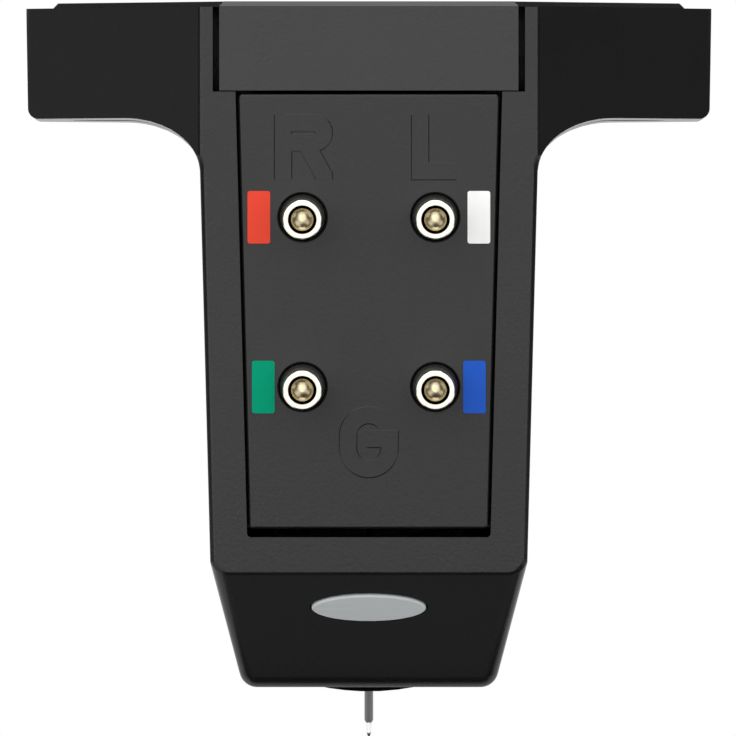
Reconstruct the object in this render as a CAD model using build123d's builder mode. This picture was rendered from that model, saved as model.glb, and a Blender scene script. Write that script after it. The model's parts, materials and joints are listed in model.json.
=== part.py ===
from build123d import *
from math import cos, radians, sin, sqrt, tan
import os

os.makedirs("parts", exist_ok=True)

# A moving-magnet record-player cartridge, in millimetres.
# The origin lies on the mounting face, midway between the two screw holes.
# +Y points forward to the stylus, +Z up into the headshell, and the pins face -Y.

# Mounting flange, with the screw holes set in from its ends
flange_width = 17.6
hole_margin = 2.45
flange_front = 8.9
flange_front_width = 10.4
body_rear = 10.6
ear_side_rear = 5.6
ear_side_front = 4.2
ear_bottom = 2.97
ear_draft = 1.0
ear_corner = 0.27
underside_reach = 1.95
underside_drop = 1.41
plan_round = 0.35

# Mounting plate, its raised pad and its rear tongue
pad_rise = 0.14
pad_inset = 0.7
pad_bevel = 0.12
mount_plate_thickness = 1.35
tongue_width = 7.64
tongue_drop = 2.277
tongue_depth = 1.4
tongue_slot = 0.17
tongue_slot_depth = 3.0
seat_clearance = 0.03

# Threaded inserts for the fixing screws
insert_radius = 1.4
insert_length = 2.4
insert_bore = 1.1
insert_bevel = 0.15
insert_exit_radius = 1.3
glue_clearance = 0.02

# Trunk of the body: rises are measured up from its bottom, and the rails between the ears stand in
# from the drafted sides at the top
trunk_top_width = 8.856
rail_inset = 0.093
side_draft = 1.5
trunk_bottom = 17.55
trunk_bottom_width = 6.44
knee_rise = 3.21
rear_draft = 1.1
chin_rise = 2.92
chin_run = 3.1
front_top = 7.9
front_rake = 10.0
ledge_rise = 5.55
cheek_start = 4.5
nose_width = 5.8
wall = 0.75
lower_round = 0.46
front_round = 0.45
chin_foot_round = 1.0
rear_edge_round = 0.13

# Terminal plate in the rear recess
terminal_top_gap = 0.091
terminal_sill = 1.156
terminal_inset = 1.024
terminal_thickness = 1.4
terminal_corner = 0.1
terminal_edge_round = 0.06
terminal_side_gap = 0.065
terminal_bottom_gap = 0.22
terminal_rim = 0.35
terminal_ledge = 0.5

# Output pins
pin_edge_margin = 1.452
pin_upper_drop = 5.517
pin_lower_drop = 9.853
pin_length = 4.2
pin_radius = 0.5
pin_collar_foot = 0.62
pin_collar_radius = 0.6
pin_collar_height = 0.06
pin_shoulder_height = 0.7
pin_well_depth = 0.15
pin_well_gap = 0.03
pin_socket_radius = 0.366
pin_socket_depth = 0.7
pin_core_radius = 0.287
pin_core_setback = 0.02
pin_core_rise = 0.134
pin_tip_round = 0.03
pin_tail_radius = 0.35
pin_tail_length = 1.2

# Colour tags on the terminal plate
tag_width = 0.578
tag_height = 1.343
tag_thickness = 0.04
tag_inset = 0.16
tag_corner = 0.06

# Oval badge on the chin
badge_width = 2.92
badge_height = 0.974
badge_rise = 2.06
badge_thickness = 0.16
badge_sunk = 0.1
badge_gap = 0.05
badge_bevel = 0.04

# Stylus axis: distances s run back along it from the cantilever's front end
tracking_angle = 24.0
tip_ahead = 9.5
tip_below = 1.486
cantilever_below = 1.027
tip_setback = 0.15
pivot_back = 6.2

# Stylus holder
parting_back = 8.15
parting_gap = 0.05
holder_face_back = 5.5
nose_roof_rise = 2.55
nose_lip = 8.7
barrel_below = 0.187
barrel_radius = 6.2
grip_radius = 0.3
grip_pitch = 0.95
grip_count = 3
grip_first = 5.9
grip_below_ledge = 0.6
grip_length = 1.9

# Stylus tube, suspension and cantilever
tube_radius = 1.15
tube_bore = 0.95
tube_back = 10.8
tube_bevel = 0.1
tube_clearance = 0.03
anchor_length = 0.7
tie_wire_radius = 0.05
tie_wire_gap = 0.06
damper_radius = 0.87
damper_half_length = 0.35
sleeve_radius = 0.34
sleeve_front = 0.5
sleeve_rear = 0.7
swing_clearance = 0.06
magnet_radius = 0.36
magnet_length = 2.2
cantilever_radius = 0.115
cantilever_bore = 0.075
cantilever_wall_end = 0.55
cantilever_back = 0.3
shank_radius = 0.065
shank_clearance = 0.005
shank_up = 0.06
cone_height = 0.16
tip_radius = 0.012

# Generator
pole_width = 0.6
pole_offset = 1.25
pole_clearance = 0.02
pole_holder_length = 2.0
pole_holder_half = 1.95
pole_holder_round = 0.4
holder_rim_length = 0.4
coil_gap = 0.12
bobbin_length = 4.7
bobbin_radius = 1.2
bobbin_core = 0.55
bobbin_flange = 0.25
coil_radius = 1.1
winding_clearance = 0.02
yoke_gap = 0.15
yoke_thickness = 0.5
yoke_width = 1.15
shield_half = 2.51
shield_wall = 0.18
shield_round = 1.0
shield_tail = 0.3
lead_radius = 0.06
lead_landing = 0.8
lead_stub = 0.6

# Derived places
half_spacing = flange_width / 2 - hole_margin
ear_top = -pad_rise
knee_drop = trunk_bottom - knee_rise
rear_drop = trunk_bottom - chin_rise
ledge_drop = trunk_bottom - ledge_rise
terminal_top = tongue_drop + terminal_top_gap
terminal_bottom = rear_drop - terminal_sill
badge_drop = trunk_bottom - badge_rise
tip_drop = trunk_bottom + tip_below
cantilever_end_drop = trunk_bottom + cantilever_below
nose_roof_drop = trunk_bottom - nose_roof_rise
barrel_bottom = trunk_bottom + barrel_below
grip_top = ledge_drop + grip_below_ledge
reach = flange_width + body_rear + trunk_bottom
top_half = trunk_top_width / 2
rail_half = top_half - rail_inset
rail_drop = rail_inset / tan(radians(side_draft))
bottom_half = trunk_bottom_width / 2
knee_half = top_half - knee_drop * tan(radians(side_draft))
flange_half = flange_width / 2
tongue_half = tongue_width / 2
slot_half = tongue_half + tongue_slot
slot_places = [(side * (tongue_half + slot_half) / 2, -body_rear) for side in (-1, 1)]
terminal_slope = tan(radians(side_draft))
axis_forward = Vector(0, cos(radians(tracking_angle)), -sin(radians(tracking_angle)))
axis_up = Vector(0, sin(radians(tracking_angle)), cos(radians(tracking_angle)))
cantilever_end = Vector(0, tip_ahead + tip_setback * cos(radians(tracking_angle)), -cantilever_end_drop)
socket_radius = tube_radius + tube_clearance
generator_front = parting_back + wall
generator_back = generator_front + pole_holder_length
bobbin_front = generator_back + coil_gap
bobbin_back = bobbin_front + bobbin_length
yoke_front = bobbin_back + yoke_gap
yoke_pitch = yoke_thickness + yoke_gap
shield_front = generator_back - holder_rim_length
shield_back = yoke_front + yoke_pitch + yoke_thickness + shield_tail
terminal_seat = terminal_thickness + terminal_ledge

rear_plane = Plane(
    origin=(0, -body_rear, 0),
    x_dir=(1, 0, 0),
    z_dir=(0, -cos(radians(rear_draft)), -sin(radians(rear_draft))),
)


def save(builder, name):
    """Label a finished piece and write it to its own file."""
    builder.part.label = name
    export_step(builder.part, f"parts/{name}.step")


def axis_point(s):
    """Point on the stylus axis, s behind the cantilever's front end."""
    return cantilever_end - axis_forward * s


def axis_plane(s):
    """Plane square to the stylus axis at s, with X across, Y up and Z running back."""
    return Plane(origin=axis_point(s), x_dir=(1, 0, 0), z_dir=-axis_forward)


def axis_cut(s, height):
    """Forward place at which the square cut through the axis at s meets a height."""
    centre = axis_point(s)
    return centre.Y + (height - centre.Z) * axis_up.Y / axis_up.Z


def upper_half(height):
    """Half width at a height above the knee, between the rails and then the drafted sides."""
    return min(rail_half, top_half + height * tan(radians(side_draft)))


def lower_half(height):
    """Half width at a height between the steeper sides below the knee."""
    return bottom_half + (height + trunk_bottom) * (knee_half - bottom_half) / knee_rise


def trunk_half(height):
    """Half width of the trunk at a height below the mounting face."""
    return min(upper_half(height), lower_half(height))


def rear_at(height):
    """Forward place of the drafted rear face at a height."""
    return -body_rear - height * tan(radians(rear_draft))


def front_at(height):
    """Forward place of the raked front face at a height."""
    return front_top - height * tan(radians(front_rake))


def cheek_half(forward):
    """Half width between the front cheeks at a forward place."""
    front = front_at(-ledge_drop)
    return top_half + (nose_width / 2 - top_half) * (forward - cheek_start) / (front - cheek_start)


def both_sides(half_points):
    """Close a right-hand outline with its mirror image about the centre line."""
    return half_points + [(-x, y) for x, y in reversed(half_points)]


def terminal_half(height):
    """Half width of the terminal plate, which keeps a set margin from the trunk's side."""
    return top_half + height * terminal_slope - terminal_inset


def recess_outline(margin):
    """Outline of the terminal recess, with its sides a margin outside the plate's."""
    recess_bottom = terminal_bottom + terminal_bottom_gap
    return both_sides([
        (terminal_half(-tongue_drop) + margin, -tongue_drop),
        (terminal_half(-recess_bottom) + margin, -recess_bottom),
    ])


chin_foot = rear_at(-rear_drop) + chin_run
trunk_section = both_sides([
    (rail_half, ear_top),
    (rail_half, -rail_drop),
    (knee_half, -knee_drop),
    (bottom_half, -trunk_bottom),
])
upper_section = both_sides([
    (rail_half, 0),
    (rail_half, -rail_drop),
    (upper_half(-trunk_bottom - wall), -trunk_bottom - wall),
])
lower_section = both_sides([
    (lower_half(ear_top), ear_top),
    (bottom_half, -trunk_bottom),
])
trunk_profile = [
    (rear_at(ear_top), ear_top),
    (rear_at(-rear_drop), -rear_drop),
    (chin_foot, -trunk_bottom),
    (axis_cut(parting_back, -trunk_bottom), -trunk_bottom),
    (axis_cut(parting_back, -ledge_drop), -ledge_drop),
    (front_at(-ledge_drop), -ledge_drop),
    (front_at(ear_top), ear_top),
]
plan_front = front_at(-ledge_drop) + wall
plan_rear = -body_rear - wall
trunk_plan = both_sides([
    (cheek_half(cheek_start - wall), plan_rear),
    (cheek_half(cheek_start - wall), cheek_start - wall),
    (cheek_half(plan_front), plan_front),
])
sweep_slope = (flange_half - rail_half) / (body_rear - ear_side_rear)
flange_plan = both_sides([
    (rail_half - sweep_slope * wall, plan_rear),
    (flange_half, -ear_side_rear),
    (flange_half, ear_side_front),
    (flange_front_width / 2, flange_front),
])
terminal_outline = both_sides([
    (terminal_half(-terminal_top), -terminal_top),
    (terminal_half(-terminal_bottom), -terminal_bottom),
])
chin_length = sqrt(chin_run**2 + (trunk_bottom - rear_drop) ** 2)
chin_normal = Vector(0, -(trunk_bottom - rear_drop) / chin_length, -chin_run / chin_length)
badge_forward = rear_at(-rear_drop) + chin_run * (badge_drop - rear_drop) / (trunk_bottom - rear_drop)
chin_plane = Plane(origin=(0, badge_forward, -badge_drop), x_dir=(1, 0, 0), z_dir=chin_normal)

# Cavity of the body, one wall inside the trunk and clear of the terminal plate
with BuildPart() as cavity:
    with BuildSketch(Plane.XZ):
        Polygon(*trunk_section, align=None)
        offset(amount=-wall, kind=Kind.INTERSECTION, mode=Mode.REPLACE)
    extrude(amount=reach, both=True)
    with BuildSketch(Plane.YZ):
        Polygon(*trunk_profile, align=None)
        offset(amount=-wall, kind=Kind.INTERSECTION, mode=Mode.REPLACE)
    extrude(amount=reach, both=True, mode=Mode.INTERSECT)
    with BuildSketch(Plane.XY):
        Polygon(*trunk_plan, align=None)
        offset(amount=-wall, kind=Kind.INTERSECTION, mode=Mode.REPLACE)
    extrude(amount=reach, both=True, mode=Mode.INTERSECT)
    split(bisect_by=rear_plane.offset(-terminal_seat), keep=Keep.BOTTOM)

# Flange with swept ears, which lean with the rear face, and a hollow curve under each ear
with BuildPart() as flange:
    with BuildSketch(Plane.XZ):
        with BuildLine():
            ear_foot = flange_half - (ear_bottom - pad_rise) * tan(radians(ear_draft))
            curve_foot = -ear_bottom - underside_drop
            curve_start = trunk_half(curve_foot) + underside_reach
            Polyline((0, ear_top), (flange_half, ear_top), (ear_foot, -ear_bottom),
                     (curve_start, -ear_bottom))
            curve = EllipticalCenterArc((curve_start, curve_foot), underside_reach, underside_drop,
                                        start_angle=90, arc_size=90)
            Polyline(curve @ 1, (0, curve_foot), (0, ear_top))
        make_face()
        fillet(vertices().sort_by_distance((ear_foot, -ear_bottom))[0], radius=ear_corner)
        mirror(about=Plane.YZ)
    extrude(amount=reach, both=True)
    with BuildSketch(Plane.XY):
        Polygon(*flange_plan, align=None)
        fillet(vertices().group_by(Axis.Y)[1:], radius=plan_round)
    extrude(amount=reach, dir=-rear_plane.y_dir, mode=Mode.INTERSECT)

# Body shell: the chin and the floor are rounded between the lower sides, then the upper sides cut in
with BuildPart() as body_shell:
    with BuildSketch(Plane.XZ):
        Polygon(*lower_section, align=None)
    extrude(amount=reach, both=True)
    with BuildSketch(Plane.YZ):
        Polygon(*trunk_profile, align=None)
    extrude(amount=reach, both=True, mode=Mode.INTERSECT)
    chin_foot_edge = edges().filter_by(Axis.X).sort_by_distance((0, chin_foot, -trunk_bottom))[0]
    fillet(chin_foot_edge, radius=chin_foot_round)
    chin_face = faces().sort_by_distance(chin_plane.origin)[0]
    foot_face = faces().sort_by_distance((0, chin_foot, -trunk_bottom))[0]
    floor_face = faces().sort_by(Axis.Z)[0]
    lower_edges = chin_face.edges() + foot_face.edges() + floor_face.edges()
    fillet(lower_edges.filter_by(Axis.X, reverse=True), radius=lower_round)
    with BuildSketch(Plane.XZ):
        Polygon(*upper_section, align=None)
    extrude(amount=reach, both=True, mode=Mode.INTERSECT)
    with BuildSketch(Plane.XY):
        Polygon(*trunk_plan, align=None)
    extrude(amount=reach, both=True, mode=Mode.INTERSECT)
    front_edges = faces().sort_by(Axis.Y)[-1].edges().filter_by(Axis.X, reverse=True)
    fillet(front_edges, radius=front_round)
    add(flange.part)
    split(bisect_by=rear_plane, keep=Keep.BOTTOM)
    rear_edges = faces().sort_by(Axis(rear_plane.origin, rear_plane.z_dir))[-1].edges()
    below_top = rear_edges.filter_by(lambda edge: edge.center().Z < ear_top - rear_edge_round)
    fillet(below_top, radius=rear_edge_round)

    # Seat of the mounting plate, the recess of its tongue and the slots beside that
    with BuildSketch(Plane.XY.offset(-mount_plate_thickness)):
        Polygon(*flange_plan, align=None)
        fillet(vertices().group_by(Axis.Y)[1:], radius=plan_round)
        offset(amount=seat_clearance - pad_inset, kind=Kind.INTERSECTION, mode=Mode.REPLACE)
    extrude(amount=reach, mode=Mode.SUBTRACT)
    with BuildSketch(Plane.XY.offset(-tongue_drop - seat_clearance)):
        with Locations((0, -body_rear)):
            Rectangle(2 * slot_half, 2 * (tongue_depth + seat_clearance))
    extrude(amount=reach, mode=Mode.SUBTRACT)
    with BuildSketch(Plane.XY.offset(-tongue_drop - seat_clearance)):
        with Locations(*slot_places):
            Rectangle(tongue_slot, 2 * tongue_slot_depth)
    extrude(amount=reach, mode=Mode.SUBTRACT)

    # Recess of the terminal plate, with ledges behind its sides and a window to the cavity, which the
    # gaps above and below the plate also reach, the lower one at the full width of the recess
    with BuildSketch(rear_plane):
        Polygon(*recess_outline(terminal_side_gap), align=None)
        fillet(vertices().sort_by(Axis.Y)[:2], radius=terminal_corner)
    extrude(amount=-terminal_thickness, mode=Mode.SUBTRACT)
    with BuildSketch(rear_plane):
        Polygon(*recess_outline(terminal_side_gap), align=None)
        fillet(vertices().sort_by(Axis.Y)[:2], radius=terminal_corner)
        Rectangle(flange_width, 2 * terminal_bottom, mode=Mode.SUBTRACT)
    extrude(amount=-terminal_seat - seat_clearance, mode=Mode.SUBTRACT)
    with BuildSketch(rear_plane):
        Polygon(*recess_outline(-terminal_rim), align=None)
        Polygon(*terminal_outline, align=None, mode=Mode.SUBTRACT)
    extrude(amount=-terminal_seat - seat_clearance, mode=Mode.SUBTRACT)
    with BuildSketch(rear_plane):
        Polygon(*terminal_outline, align=None)
        offset(amount=-terminal_rim, kind=Kind.INTERSECTION, mode=Mode.REPLACE)
    extrude(amount=-terminal_seat - seat_clearance, mode=Mode.SUBTRACT)
    add(cavity.part, mode=Mode.SUBTRACT)

    # Stylus socket through the front wall, badge pocket, and holes for the inserts
    with BuildSketch(axis_plane(parting_back - wall)):
        Circle(socket_radius)
    extrude(amount=3 * wall, mode=Mode.SUBTRACT)
    with BuildSketch(chin_plane):
        Ellipse(badge_width / 2 + badge_gap, badge_height / 2 + badge_gap)
    extrude(amount=-badge_sunk, mode=Mode.SUBTRACT)
    with BuildSketch(Plane.XY):
        with Locations((-half_spacing, 0), (half_spacing, 0)):
            Circle(insert_radius + glue_clearance)
    extrude(amount=-insert_length, mode=Mode.SUBTRACT)
    with BuildSketch(Plane.XY):
        with Locations((-half_spacing, 0), (half_spacing, 0)):
            Circle(insert_exit_radius)
    extrude(amount=-reach, mode=Mode.SUBTRACT)
save(body_shell, "body_shell")

# Mounting plate with its pad and tongue
with BuildPart() as mount_plate:
    with BuildSketch(Plane.XY):
        Polygon(*flange_plan, align=None)
        fillet(vertices().group_by(Axis.Y)[1:], radius=plan_round)
        offset(amount=-pad_inset, kind=Kind.INTERSECTION, mode=Mode.REPLACE)
    extrude(amount=-mount_plate_thickness)
    with BuildSketch(Plane.XY):
        with Locations((0, -body_rear)):
            Rectangle(tongue_width, 2 * tongue_depth)
    extrude(amount=-tongue_drop)
    split(bisect_by=rear_plane, keep=Keep.BOTTOM)
    chamfer(faces().sort_by(Axis.Z)[-1].edges(), length=pad_bevel)
    with BuildSketch(Plane.XY.offset(ear_top)):
        with Locations(*slot_places):
            Rectangle(tongue_slot, 2 * tongue_slot_depth)
    extrude(amount=-tongue_drop, mode=Mode.SUBTRACT)
    with BuildSketch(Plane.XY):
        with Locations((-half_spacing, 0), (half_spacing, 0)):
            Circle(insert_radius + glue_clearance)
    extrude(amount=-mount_plate_thickness, mode=Mode.SUBTRACT)
save(mount_plate, "mount_plate")

# Threaded inserts
for side, x in (("left", -half_spacing), ("right", half_spacing)):
    with BuildPart() as threaded_insert:
        with BuildSketch(Plane.XY):
            with Locations((x, 0)):
                Circle(insert_radius)
                Circle(insert_bore, mode=Mode.SUBTRACT)
        extrude(amount=-insert_length)
        outer_rim = faces().sort_by(Axis.Z)[0].edges().sort_by(SortBy.RADIUS)[-1]
        chamfer(outer_rim, length=insert_bevel)
    save(threaded_insert, f"threaded_insert_{side}")

# Terminal plate
pin_half_pitch = terminal_half(-pin_lower_drop) - pin_edge_margin
pins = {
    "right_signal": (-pin_half_pitch, -pin_upper_drop),
    "left_signal": (pin_half_pitch, -pin_upper_drop),
    "right_ground": (-pin_half_pitch, -pin_lower_drop),
    "left_ground": (pin_half_pitch, -pin_lower_drop),
}
with BuildPart() as terminal_plate:
    with BuildSketch(rear_plane):
        Polygon(*terminal_outline, align=None)
        fillet(vertices(), radius=terminal_corner)
    extrude(amount=-terminal_thickness)
    outer_face = faces().sort_by(Axis(rear_plane.origin, rear_plane.z_dir))[-1]
    fillet(outer_face.edges(), radius=terminal_edge_round)
    with BuildSketch(rear_plane):
        with Locations(*pins.values()):
            Circle(pin_tail_radius + glue_clearance)
    extrude(amount=-terminal_thickness, mode=Mode.SUBTRACT)
    with BuildSketch(rear_plane):
        with Locations(*pins.values()):
            Circle(pin_collar_foot + pin_well_gap)
    extrude(amount=-pin_well_depth, mode=Mode.SUBTRACT)
save(terminal_plate, "terminal_plate")

# Output pins: a turned tail, a bevelled collar in its well and a tubular end round a domed core
tail_end = -terminal_thickness - pin_tail_length
core_top = pin_length - pin_core_setback
core_rim = (pin_core_radius, core_top - pin_core_rise)
for name, (x, height) in pins.items():
    pin_root = rear_plane.from_local_coords((x, height, 0))
    pin_axis = Axis(pin_root, rear_plane.z_dir)
    profile_plane = Plane(origin=pin_root, x_dir=(1, 0, 0), z_dir=-rear_plane.y_dir)
    with BuildPart() as pin:
        with BuildSketch(profile_plane):
            with BuildLine():
                Polyline(
                    (0, tail_end),
                    (pin_tail_radius, tail_end),
                    (pin_tail_radius, -pin_well_depth),
                    (pin_collar_foot, -pin_well_depth),
                    (pin_collar_radius, pin_collar_height),
                    (pin_radius, pin_shoulder_height),
                    (pin_radius, pin_length),
                    (pin_socket_radius, pin_length),
                    (pin_socket_radius, pin_length - pin_socket_depth),
                    (pin_core_radius, pin_length - pin_socket_depth),
                    core_rim,
                )
                TangentArc((0, core_top), core_rim, tangent=(1, 0))
                Line((0, core_top), (0, tail_end))
            make_face()
            fillet(vertices().sort_by_distance((pin_radius, pin_length))[0], radius=pin_tip_round)
        revolve(axis=pin_axis)
    save(pin, f"pin_{name}")

# Colour tags beside the pins
tags = {
    "red": "right_signal",
    "white": "left_signal",
    "green": "right_ground",
    "blue": "left_ground",
}
for colour, pin_name in tags.items():
    pin_x, height = pins[pin_name]
    tag_x = terminal_half(height) - tag_inset - tag_width / 2
    with BuildPart() as tag:
        with BuildSketch(rear_plane):
            with Locations((tag_x if pin_x > 0 else -tag_x, height)):
                RectangleRounded(tag_width, tag_height, tag_corner)
        extrude(amount=tag_thickness)
    save(tag, f"tag_{colour}")

# Oval badge in its pocket
with BuildPart() as badge:
    with BuildSketch(chin_plane.offset(-badge_sunk)):
        Ellipse(badge_width / 2, badge_height / 2)
    extrude(amount=badge_thickness)
    rim = faces().sort_by(Axis(chin_plane.origin, chin_plane.z_dir))[-1].edges()
    chamfer(rim, length=badge_bevel)
save(badge, "badge")

# Stylus holder: it carries on the trunk's sides below the ledge and ends in a rounded barrel
holder_top = -ledge_drop - parting_gap
holder_low = barrel_bottom + wall
holder_back = parting_back - parting_gap
with BuildPart() as stylus_holder:
    with BuildSketch(Plane.XZ):
        Polygon(*both_sides([
            (trunk_half(holder_top), holder_top),
            (knee_half, -knee_drop),
            (lower_half(-holder_low), -holder_low),
        ]), align=None)
        with Locations((0, barrel_radius - barrel_bottom)):
            Circle(barrel_radius, mode=Mode.INTERSECT)
    extrude(amount=reach, both=True)
    with BuildSketch(Plane.YZ):
        Polygon(
            (axis_cut(holder_back, holder_top), holder_top),
            (axis_cut(holder_back, -holder_low), -holder_low),
            (axis_cut(holder_face_back, -holder_low), -holder_low),
            (axis_cut(holder_face_back, -nose_roof_drop), -nose_roof_drop),
            (nose_lip, -nose_roof_drop),
            (front_at(-ledge_drop), holder_top),
            align=None,
        )
    extrude(amount=reach, both=True, mode=Mode.INTERSECT)
    with BuildSketch(Plane.XY):
        Polygon(*trunk_plan, align=None)
    extrude(amount=reach, both=True, mode=Mode.INTERSECT)
    nose_edges = faces().sort_by(Axis.Y)[-1].edges().filter_by(Axis.X, reverse=True)
    fillet(nose_edges, radius=front_round)
    with BuildSketch(axis_plane(holder_face_back - wall)):
        Circle(tube_radius + glue_clearance)
    extrude(amount=parting_back - holder_face_back + 2 * wall, mode=Mode.SUBTRACT)
    with BuildSketch(Plane.XY.offset(-grip_top)):
        for step in range(grip_count):
            forward = grip_first + step * grip_pitch
            with Locations((cheek_half(forward), forward), (-cheek_half(forward), forward)):
                Circle(grip_radius)
    extrude(amount=-grip_length, mode=Mode.SUBTRACT)
save(stylus_holder, "stylus_holder")

# Tube of the stylus, which slides into the socket
with BuildPart() as stylus_tube:
    with BuildSketch(axis_plane(holder_face_back)):
        Circle(tube_radius)
        Circle(tube_bore, mode=Mode.SUBTRACT)
    extrude(amount=tube_back - holder_face_back)
    back_rim = faces().sort_by(Axis(cantilever_end, -axis_forward))[-1].edges().sort_by(SortBy.RADIUS)[-1]
    chamfer(back_rim, length=tube_bevel)
save(stylus_tube, "stylus_tube")

# Anchor plug in the tube's back end, and the tie wire that it holds
with BuildPart() as wire_anchor:
    with BuildSketch(axis_plane(tube_back - anchor_length)):
        Circle(tube_bore - glue_clearance)
        Circle(tie_wire_radius + glue_clearance, mode=Mode.SUBTRACT)
    extrude(amount=anchor_length)
save(wire_anchor, "wire_anchor")

magnet_front = pivot_back + sleeve_rear
magnet_back = magnet_front + magnet_length
with BuildPart() as tie_wire:
    with BuildSketch(axis_plane(magnet_back + tie_wire_gap)):
        Circle(tie_wire_radius)
    extrude(amount=tube_back - magnet_back - tie_wire_gap)
save(tie_wire, "tie_wire")

# Damper ring, which tilts with the cantilever
with BuildPart() as damper_ring:
    with BuildSketch(axis_plane(pivot_back - damper_half_length)):
        Circle(damper_radius)
        Circle(sleeve_radius + swing_clearance, mode=Mode.SUBTRACT)
    extrude(amount=2 * damper_half_length)
save(damper_ring, "damper_ring")

# Sleeve that joins the cantilever to the magnet
with BuildPart() as cantilever_sleeve:
    with BuildSketch(axis_plane(pivot_back - sleeve_front)):
        Circle(sleeve_radius)
        Circle(cantilever_radius + shank_clearance, mode=Mode.SUBTRACT)
    extrude(amount=sleeve_front + sleeve_rear)
save(cantilever_sleeve, "cantilever_sleeve")

with BuildPart() as magnet:
    with BuildSketch(axis_plane(magnet_front)):
        Circle(magnet_radius)
    extrude(amount=magnet_length)
save(magnet, "magnet")

# Cantilever: a thin tube with a closed round end that holds the diamond
shank_top = axis_point(tip_setback).Z + shank_up
with BuildPart() as cantilever:
    with BuildSketch(Plane(origin=cantilever_end, x_dir=(1, 0, 0), z_dir=-axis_up)):
        with BuildLine():
            CenterArc((0, cantilever_radius), cantilever_radius, -90, 90)
            Polyline(
                (cantilever_radius, cantilever_radius),
                (cantilever_radius, pivot_back + cantilever_back),
                (cantilever_bore, pivot_back + cantilever_back),
                (cantilever_bore, cantilever_wall_end),
                (0, cantilever_wall_end),
                (0, 0),
            )
        make_face()
    revolve(axis=Axis(cantilever_end, axis_forward))
    with BuildSketch(Plane.XY.offset(shank_top)):
        with Locations((0, tip_ahead)):
            Circle(shank_radius + shank_clearance)
    extrude(amount=-reach, mode=Mode.SUBTRACT)
save(cantilever, "cantilever")

# Diamond: a round shank and a cone with a rounded point
with BuildPart() as diamond_tip:
    with BuildSketch(Plane.XZ.offset(-tip_ahead)):
        with BuildLine():
            Polyline(
                (0, shank_top - shank_clearance),
                (shank_radius, shank_top - shank_clearance),
                (shank_radius, cone_height - tip_drop),
                (tip_radius, tip_radius - tip_drop),
            )
            CenterArc((0, tip_radius - tip_drop), tip_radius, 0, -90)
            Line((0, -tip_drop), (0, shank_top - shank_clearance))
        make_face()
    revolve(axis=Axis((0, tip_ahead, 0), (0, 0, 1)))
save(diamond_tip, "diamond_tip")

# Pole holder, seated on the front wall round the stylus socket
corners = {
    "upper_left": (-1, 1),
    "upper_right": (1, 1),
    "lower_left": (-1, -1),
    "lower_right": (1, -1),
}
pole_places = {name: (x * pole_offset, y * pole_offset) for name, (x, y) in corners.items()}
pole_hole = pole_width + 2 * pole_clearance
with BuildPart() as pole_holder:
    with BuildSketch(axis_plane(generator_front)):
        RectangleRounded(2 * pole_holder_half, 2 * pole_holder_half, pole_holder_round)
    extrude(amount=pole_holder_length)
    with BuildSketch(axis_plane(shield_front)):
        rim_size = 2 * (shield_half - glue_clearance)
        RectangleRounded(rim_size, rim_size, shield_round)
    extrude(amount=holder_rim_length)
    with BuildSketch(axis_plane(generator_front)):
        Circle(socket_radius)
        with Locations(*pole_places.values()):
            Rectangle(pole_hole, pole_hole)
    extrude(amount=pole_holder_length, mode=Mode.SUBTRACT)
save(pole_holder, "pole_holder")

# Poles, bobbins and coils
yoke_starts = {"inner": yoke_front, "outer": yoke_front + yoke_pitch}
yoke_of = {
    "upper_left": "inner",
    "lower_right": "inner",
    "upper_right": "outer",
    "lower_left": "outer",
}
for name, place in pole_places.items():
    pole_end = yoke_starts[yoke_of[name]] + yoke_thickness
    with BuildPart() as pole:
        with BuildSketch(axis_plane(generator_front)):
            with Locations(place):
                Rectangle(pole_width, pole_width)
        extrude(amount=pole_end - generator_front)
    save(pole, f"pole_{name}")

    with BuildPart() as bobbin:
        with BuildSketch(axis_plane(bobbin_front), axis_plane(bobbin_back - bobbin_flange)):
            with Locations(place):
                Circle(bobbin_radius)
        extrude(amount=bobbin_flange)
        with BuildSketch(axis_plane(bobbin_front)):
            with Locations(place):
                Circle(bobbin_core)
        extrude(amount=bobbin_length)
        with BuildSketch(axis_plane(bobbin_front)):
            with Locations(place):
                Rectangle(pole_hole, pole_hole)
        extrude(amount=bobbin_length, mode=Mode.SUBTRACT)
    save(bobbin, f"bobbin_{name}")

    with BuildPart() as coil:
        with BuildSketch(axis_plane(bobbin_front + bobbin_flange + winding_clearance)):
            with Locations(place):
                Circle(coil_radius)
                Circle(bobbin_core + winding_clearance, mode=Mode.SUBTRACT)
        extrude(amount=bobbin_length - 2 * (bobbin_flange + winding_clearance))
    save(coil, f"coil_{name}")

# Yokes: flat bars that join the poles in crossed pairs behind the coils
for name, start in yoke_starts.items():
    ends = [pole_places[pole_name] for pole_name in yoke_of if yoke_of[pole_name] == name]
    with BuildPart() as yoke:
        with BuildSketch(axis_plane(start)):
            slant = -45 if name == "inner" else 45
            SlotCenterToCenter(2 * pole_offset * sqrt(2), yoke_width, rotation=slant)
            with Locations(*ends):
                Rectangle(pole_hole, pole_hole, mode=Mode.SUBTRACT)
        extrude(amount=yoke_thickness)
    save(yoke, f"yoke_{name}")

# Shield can round the coils, carried on the pole holder's rim
with BuildPart() as shield_can:
    with BuildSketch(axis_plane(shield_front)):
        outer_size = 2 * (shield_half + shield_wall)
        RectangleRounded(outer_size, outer_size, shield_round + shield_wall)
        RectangleRounded(2 * shield_half, 2 * shield_half, shield_round, mode=Mode.SUBTRACT)
    extrude(amount=shield_back - shield_front)
save(shield_can, "shield_can")


def corner_radius(before, corner, after):
    """Largest arc that the shorter of two runs leaves room for, with a little of each run to spare."""
    run_share = 0.45
    turn = (corner - before).get_angle(after - corner)
    return run_share * min((corner - before).length, (after - corner).length) / tan(radians(turn / 2))


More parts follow.
